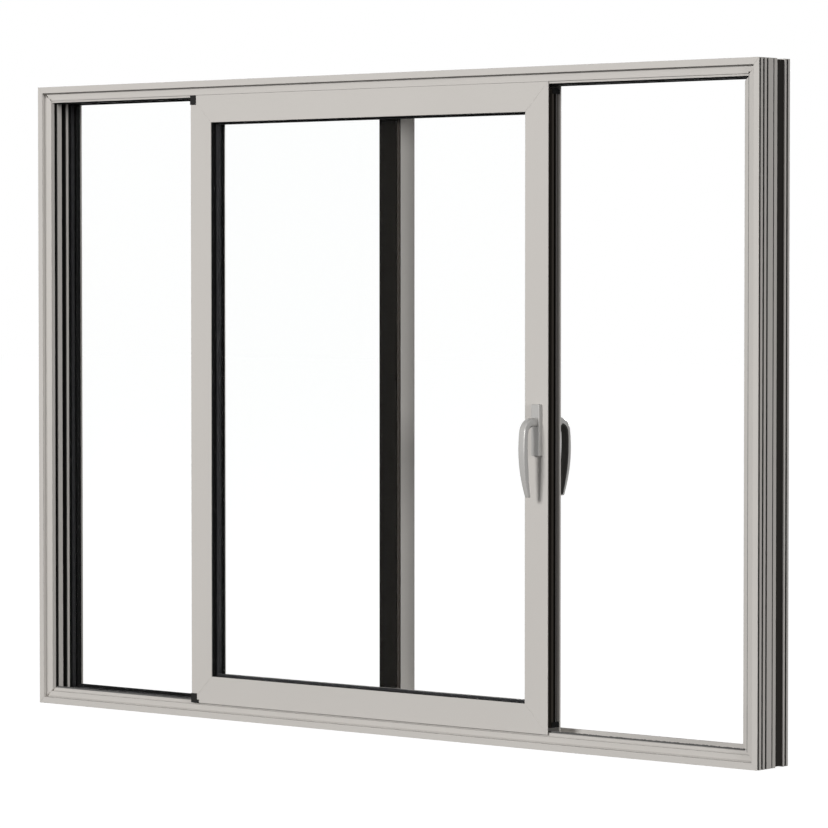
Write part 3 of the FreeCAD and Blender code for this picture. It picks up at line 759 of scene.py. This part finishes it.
for name, foot in (("lock_stile_foot_cap", low[2]), ("lock_stile_top_cap", high[2] - CAP_TALL)):
    cap = straight(name, end_outline, Z_AXIS, foot, foot + CAP_TALL, STRIP_RADIUS)
    seat(cap, rubber, "gasket_rubber", "panel")
print("closing edge,", round(float(high[2] - low[2]), 3), "m tall")

# %% [markdown]
# ## Handle plates
# Each handle sits on a slim cast plate with square ends and a softened front edge. A box with a bevel
# would do, but as a surface the outline and the edge stay two plain formulas: one angle runs round
# the rounded rectangle, the other runs from the wall up the side, over the edge and to the middle.

# %% Handle plates
PLATE_CORNER = 0.0024
PLATE_EDGE = 0.0016
PLATE_POINTS, PLATE_RINGS = 48, 6


def plate(name, outward):
    """A rounded rectangle: corner centres at (half size - radius) plus the radius times (cos, sin).
    Going over the edge by an angle, the radius loses edge (1 - cos) and the height gains edge sin."""
    low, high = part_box(name)
    low, high = np.array(low), np.array(high)
    centre = (low + high) / 2
    half = (high - low) / 2
    angle = round_angles(PLATE_POINTS)
    over = np.linspace(0, math.pi / 2, PLATE_RINGS)
    radius = np.concatenate(([PLATE_CORNER], PLATE_CORNER - PLATE_EDGE * (1 - np.cos(over))))
    rise = np.concatenate(([0.0], 2 * half[1] - PLATE_EDGE * (1 - np.sin(over))))
    rings = np.zeros((len(radius), len(angle), 3))
    for axis, wave in ((0, np.cos(angle)), (2, np.sin(angle))):
        corner = centre[axis] + np.sign(wave) * (half[axis] - PLATE_CORNER)
        rings[..., axis] = corner + radius[:, None] * wave
    wall = high[1] if outward < 0 else low[1]
    rings[..., 1] = wall + outward * rise[:, None]
    return seat(rings_to_mesh(name + "_cast", rings), satin_metal, "satin_handle", "panel", name)


plates = [plate("inner_handle_plate", -1), plate("outer_handle_plate", 1)]
print(len(plates), "handle plates")

# %% [markdown]
# ## Levers
# The lever leaves its plate as a short rounded neck, bends down and runs out in a slim bowed arm with
# squarer edges that narrows to its tip. A swept tube would be round and even. Two side curves, the outer
# and the inner, set the shape better: each is a straight neck and two arcs.

# %% Side curves of a lever
NECK_TOP, NECK_REACH, NECK_START = 0.01325, 0.038, 0.0163
SHOULDER = (0.0805, -0.028)
HEEL = (0.0645, -0.038)
TIP_REACH, TIP_THICKNESS, TIP_DROP = 0.057, 0.0115, -0.230
ELBOW, BOW, HEEL_BEND, INNER_BOW = 0.048, 0.396, 0.026, 0.710
NECK_RINGS, BEND_RINGS, ARM_RINGS = 6, 20, 60


def arc(start, end, radius, count):
    """An arc from start to end that bulges to the left of the chord. The angle it spans is twice the
    arcsine of half the chord over the radius, and its points turn evenly about the centre."""
    start, end = np.array(start), np.array(end)
    chord = end - start
    length = np.linalg.norm(chord)
    left = np.array([-chord[1], chord[0]]) / length
    half_span = math.asin(length / 2 / radius)
    centre = (start + end) / 2 - left * radius * math.cos(half_span)
    turn = np.linspace(half_span, -half_span, count)[:, None]
    return centre + radius * (left * np.cos(turn) - chord / length * np.sin(turn))


def lever_sides():
    """The outer and the inner side of a lever as matching rows of (reach, height)."""
    outer = np.concatenate((
        np.linspace((NECK_START, NECK_TOP), (NECK_REACH, NECK_TOP), NECK_RINGS)[:-1],
        arc((NECK_REACH, NECK_TOP), SHOULDER, ELBOW, BEND_RINGS)[:-1],
        arc(SHOULDER, (TIP_REACH, TIP_DROP), BOW, ARM_RINGS)))
    inner = np.concatenate((
        np.linspace((NECK_START, -NECK_TOP), (NECK_REACH, -NECK_TOP), NECK_RINGS)[:-1],
        arc((NECK_REACH, -NECK_TOP), HEEL, HEEL_BEND, BEND_RINGS)[:-1],
        arc(HEEL, (TIP_REACH - TIP_THICKNESS, TIP_DROP), INNER_BOW, ARM_RINGS)))
    return outer, inner


outer_side, inner_side = lever_sides()
print("lever sides of", len(outer_side), "points each")

# %% [markdown]
# ## Lever bodies and grips
# Between the two sides lies a squared ellipse whose power grows from neck to arm. The finger side carries
# a dark soft grip, made with the same formula: a shallow narrow band indoors, a deep and wider one
# outdoors, whose extra size is painted shade where the panel's stile shades that lever.

# %% Levers and grips
WIDTHS = (0.0240, 0.0240, 0.0216, 0.0130)
WIDTH_PLACES = (0.0, 0.54, 0.70, 1.0)
SQUARENESS = (3.2, 3.6, 10.0, 10.0)
SQUARE_PLACES = (0.0, 0.12, 0.30, 1.0)
SECTION_POINTS, TIP_RINGS = 40, 7
LEVER_TIP, GRIP_TIP, GRIP_PROUD = 0.0025, 0.0015, 0.0006
# The outdoor grip is deeper and wider to paint the stile's shade on that lever's finger side.
GRIPS_AND_PAINTED_SHADE = {"inner": (0.15, 0.80), "outer": (0.38, 1.03)}


def strap(name, outer, inner, width, power, face, outward, end_round):
    """A loft: centre + half the side vector times sin + half the width times cos, both squared off.
    The last rings shrink along a quarter circle, so the tip is rounded and closed."""
    handle_x = (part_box("inner_lever")[0][0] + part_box("inner_lever")[1][0]) / 2
    handle_z = (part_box("lever_spindle")[0][2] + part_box("lever_spindle")[1][2]) / 2
    middle = (outer + inner) / 2
    side = (outer - inner) / 2
    turn = np.linspace(0, math.pi / 2, TIP_RINGS)[1:]
    ahead = middle[-1] - middle[-2]
    ahead /= np.linalg.norm(ahead)
    thick = np.linalg.norm(side[-1])
    shrink = 1 - end_round / thick * (1 - np.cos(turn))
    shrink_width = 1 - end_round / (width[-1] / 2) * (1 - np.cos(turn))
    middle = np.concatenate((middle, middle[-1] + ahead * end_round * (np.sin(turn)[:, None] - 1)))
    middle[len(outer) - 1] -= ahead * end_round
    side = np.concatenate((side, side[-1] * shrink[:, None]))
    half_width = np.concatenate((width / 2, width[-1] / 2 * shrink_width))
    angle = round_angles(SECTION_POINTS)
    across, up = squared_ellipse(angle, np.append(power, np.full(len(turn), power[-1]))[:, None])
    section = middle[:, None] + side[:, None] * up[..., None]
    rings = np.zeros((len(middle), len(angle), 3))
    rings[..., 0] = handle_x + half_width[:, None] * across
    rings[..., 1] = face + outward * section[..., 0]
    rings[..., 2] = handle_z + section[..., 1]
    piece = rings_to_mesh(name, rings)
    piece.data.shade_smooth()
    return piece


run = np.linspace(0, 1, len(outer_side))
lever_width = np.interp(run, WIDTH_PLACES, WIDTHS)
squareness = np.interp(run, SQUARE_PLACES, SQUARENESS)
hand = slice(NECK_RINGS, -1)
into = outer_side[hand] - inner_side[hand]
unit = into / np.linalg.norm(into, axis=1, keepdims=True)
for which, outward in (("inner", -1), ("outer", 1)):
    plate_low, plate_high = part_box(which + "_handle_plate")
    face = plate_high[1] if outward < 0 else plate_low[1]
    lever = strap(which + "_lever_cast", outer_side, inner_side, lever_width, squareness,
                  face, outward, LEVER_TIP)
    seat(lever, satin_metal, "satin_handle", "lever", which + "_lever")
    depth, share = GRIPS_AND_PAINTED_SHADE[which]
    grip = strap(which + "_lever_grip", inner_side[hand] + into * depth,
                 inner_side[hand] - unit * GRIP_PROUD, lever_width[hand] * share, squareness[hand],
                 face, outward, GRIP_TIP)
    seat(grip, grip_and_painted_shade, "gasket_rubber", "lever")
print("two levers with grips,", len(outer_side), "sections each")

# %% [markdown]
# ## Plain pieces
# Some pieces are right as the CAD has them: the post, the rail, the guide, the spacers, the corner
# plugs, the spindle and the rollers. They only need their finishes.

# %% Finishes of the plain pieces
dress(powder_coat, "frame_paint", "meeting_post")
dress(stainless, "stainless_rail", "sill_rail", "roller_carriages")
dress(nylon, "guide_nylon", "head_guide", "roller_wheels", "meeting_stile_plugs")
dress(spacer_bar, "spacer_bar", "fixed_spacer", "panel_spacer")
dress(satin_metal, "satin_handle", "lever_spindle")
print("plain pieces dressed")

# %% [markdown]
# ## Floor and sky
# The door stands on a white studio floor under a white sky. Camera, glossy and transmitted rays see plain
# white, so the background stays clean. Every other ray sees a dim sky, so grooves stay dark and the paint
# keeps its own colour. The floor keeps a faint shadow, because a fifth of what it shows is still lit by
# the lamps.

# %% Floor and sky
SKY_LIGHT = 0.09
FLOOR_SHARE = 0.2
FLOOR_GLOW = 0.94
FLOOR_HALF = 45.0


def background_rays(tree):
    """1 for rays that should see the plain background: camera, glossy or transmitted, but not those
    that left a matt surface first, because they bring light to it."""
    rays = tree.nodes.new("ShaderNodeLightPath").outputs
    largest = rays["Is Camera Ray"]
    for label in ("Is Glossy Ray", "Is Transmission Ray"):
        largest = combined(tree, "MAXIMUM", largest, rays[label])
    direct = combined(tree, "LESS_THAN", rays["Diffuse Depth"], 0.5)
    return combined(tree, "MULTIPLY", largest, direct)


def between(tree, factor, low, high):
    """A number that goes from low to high with the factor."""
    mix = tree.nodes.new("ShaderNodeMix")
    mix.inputs["A"].default_value = low
    mix.inputs["B"].default_value = high
    tree.links.new(factor, mix.inputs["Factor"])
    return mix.outputs["Result"]


world = bpy.data.worlds.new("studio_sky")
bpy.context.scene.world = world
world.use_nodes = True
sky = world.node_tree.nodes["Background"]
sky.inputs["Color"].default_value = (1.0, 1.0, 1.0, 1.0)
seen = background_rays(world.node_tree)
world.node_tree.links.new(between(world.node_tree, seen, SKY_LIGHT, 1.0), sky.inputs["Strength"])

floor_paint = bpy.data.materials.new("studio_floor")
floor_paint.use_nodes = True
tree = floor_paint.node_tree
seen = background_rays(tree)
matt = tree.nodes["Principled BSDF"]
matt.inputs["Specular IOR Level"].default_value = 0.0
matt.inputs["Roughness"].default_value = 1.0
matt.inputs["Emission Color"].default_value = (1.0, 1.0, 1.0, 1.0)
matt.inputs["Base Color"].default_value = (FLOOR_SHARE, FLOOR_SHARE, FLOOR_SHARE, 1.0)
tree.links.new(between(tree, seen, 0.0, FLOOR_GLOW), matt.inputs["Emission Strength"])

floor_mesh = bpy.data.meshes.new("studio_floor")
corners = np.array([(-1, -1, 0), (1, -1, 0), (1, 1, 0), (-1, 1, 0)]) * FLOOR_HALF
corners[:, 2] = cad_low[2]
floor_mesh.from_pydata(corners.tolist(), [], [(0, 1, 2, 3)])
floor_mesh.materials.append(floor_paint)
floor = bpy.data.objects.new("studio_floor", floor_mesh)
bpy.context.scene.collection.objects.link(floor)
floor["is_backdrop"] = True
print("sky", SKY_LIGHT, "floor", 2 * FLOOR_HALF, "m wide")

# %% [markdown]
# ## Lamps
# A broad lamp in front and above lights the room side, a low sun from the right lights the edges that face
# that way, and a soft sun behind lights the outdoor side. The front lamp is far away, so the light falls
# off little from one end of the door to the other.

# %% Lamps
LAMP_AIM = (0.0, 0.0, 1.05)
FRONT_POWER, FRONT_SIZE, FRONT_PLACE = 3540.0, 5.0, (-1.0, -20.0, 7.2)
SUNS = {"side_lamp": (1.37, 14.0, (8.0, -1.95, 2.0)), "back_lamp": (2.8, 15.0, (-2.5, 8.0, 2.6))}


def lamp(name, data, place, aim):
    """A lamp at a place, turned so that it shines towards another point."""
    made = bpy.data.objects.new(name, data)
    made.location = place
    made.rotation_euler = (Vector(aim) - Vector(place)).to_track_quat("-Z", "Y").to_euler()
    bpy.context.scene.collection.objects.link(made)
    made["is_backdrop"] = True


front_data = bpy.data.lights.new("front_lamp", "AREA")
front_data.energy = FRONT_POWER
front_data.size = FRONT_SIZE
lamp("front_lamp", front_data, FRONT_PLACE, LAMP_AIM)
for name, (strength, spread, place) in SUNS.items():
    data = bpy.data.lights.new(name, "SUN")
    data.energy = strength
    data.angle = math.radians(spread)
    lamp(name, data, place, LAMP_AIM)
bpy.context.scene.view_settings.view_transform = "Standard"
print("one area lamp and", len(SUNS), "suns")

# %% [markdown]
# ## Last look
# The dressed door must fill the same box as the CAD model. Both boxes are written out to compare.

# %% Sizes and finish
low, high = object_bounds()
print("visual size", [round(float(v), 4) for v in high - low])
